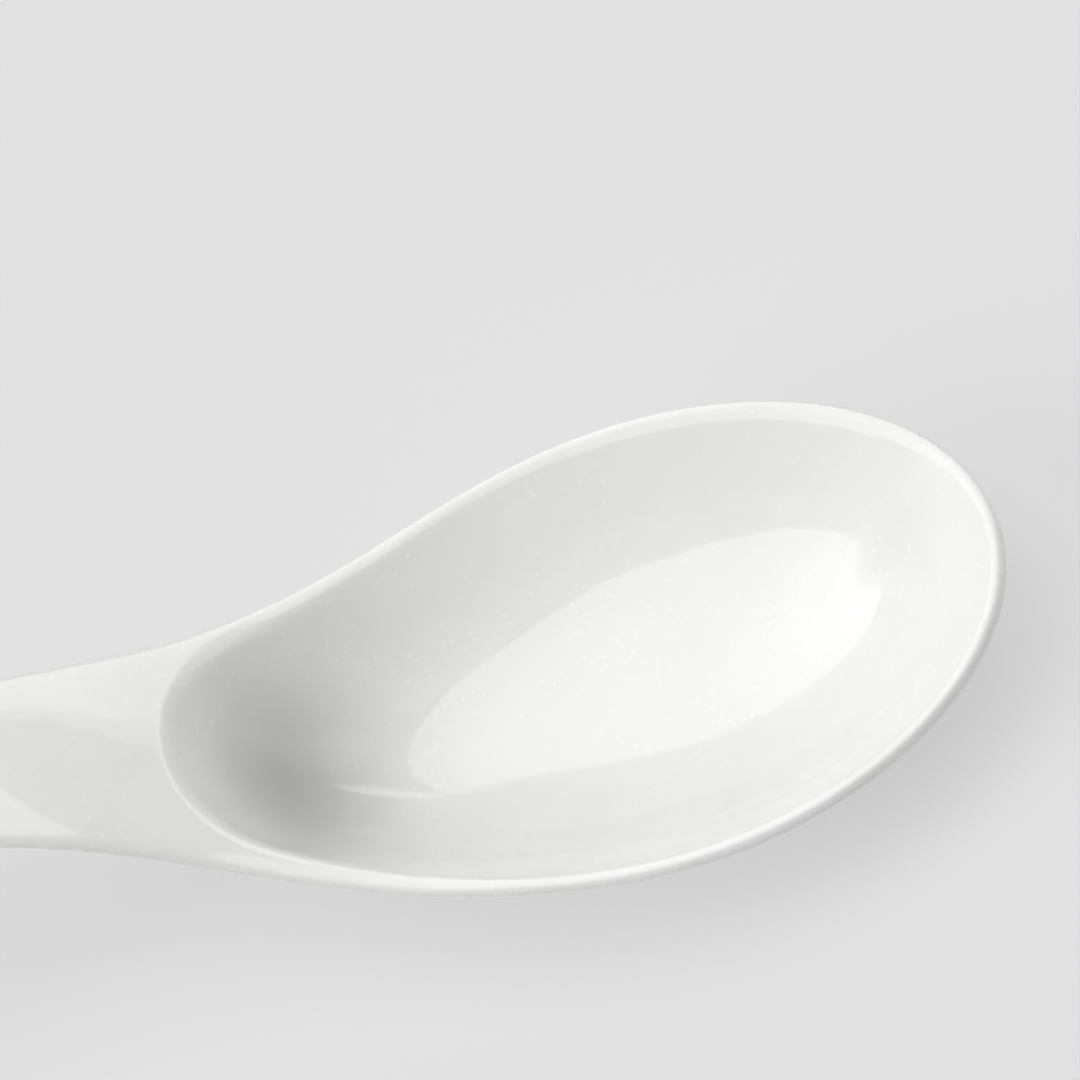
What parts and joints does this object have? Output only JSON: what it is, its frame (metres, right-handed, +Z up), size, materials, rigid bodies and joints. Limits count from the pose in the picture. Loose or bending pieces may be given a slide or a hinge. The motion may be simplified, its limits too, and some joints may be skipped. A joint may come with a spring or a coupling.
{
  "type": "ceramic soup spoon",
  "caption": "Glazed ceramic soup spoon, one piece, with a deep egg-shaped bowl on a flat foot and a short arched handle",
  "frame": {"origin": "on the table under the bowl, near the middle of the foot; the foot lies in z = 0", "axes": "+Z up, +X towards the bowl's tip, -X towards the handle; y = 0 is the plane of symmetry"},
  "size_m": [0.1394, 0.044, 0.0524],
  "materials": {
    "glaze": "glossy white glaze with faint pale specks"
  },
  "bodies": {
    "root": {"spoon": "glaze"}
  },
  "joints": []
}
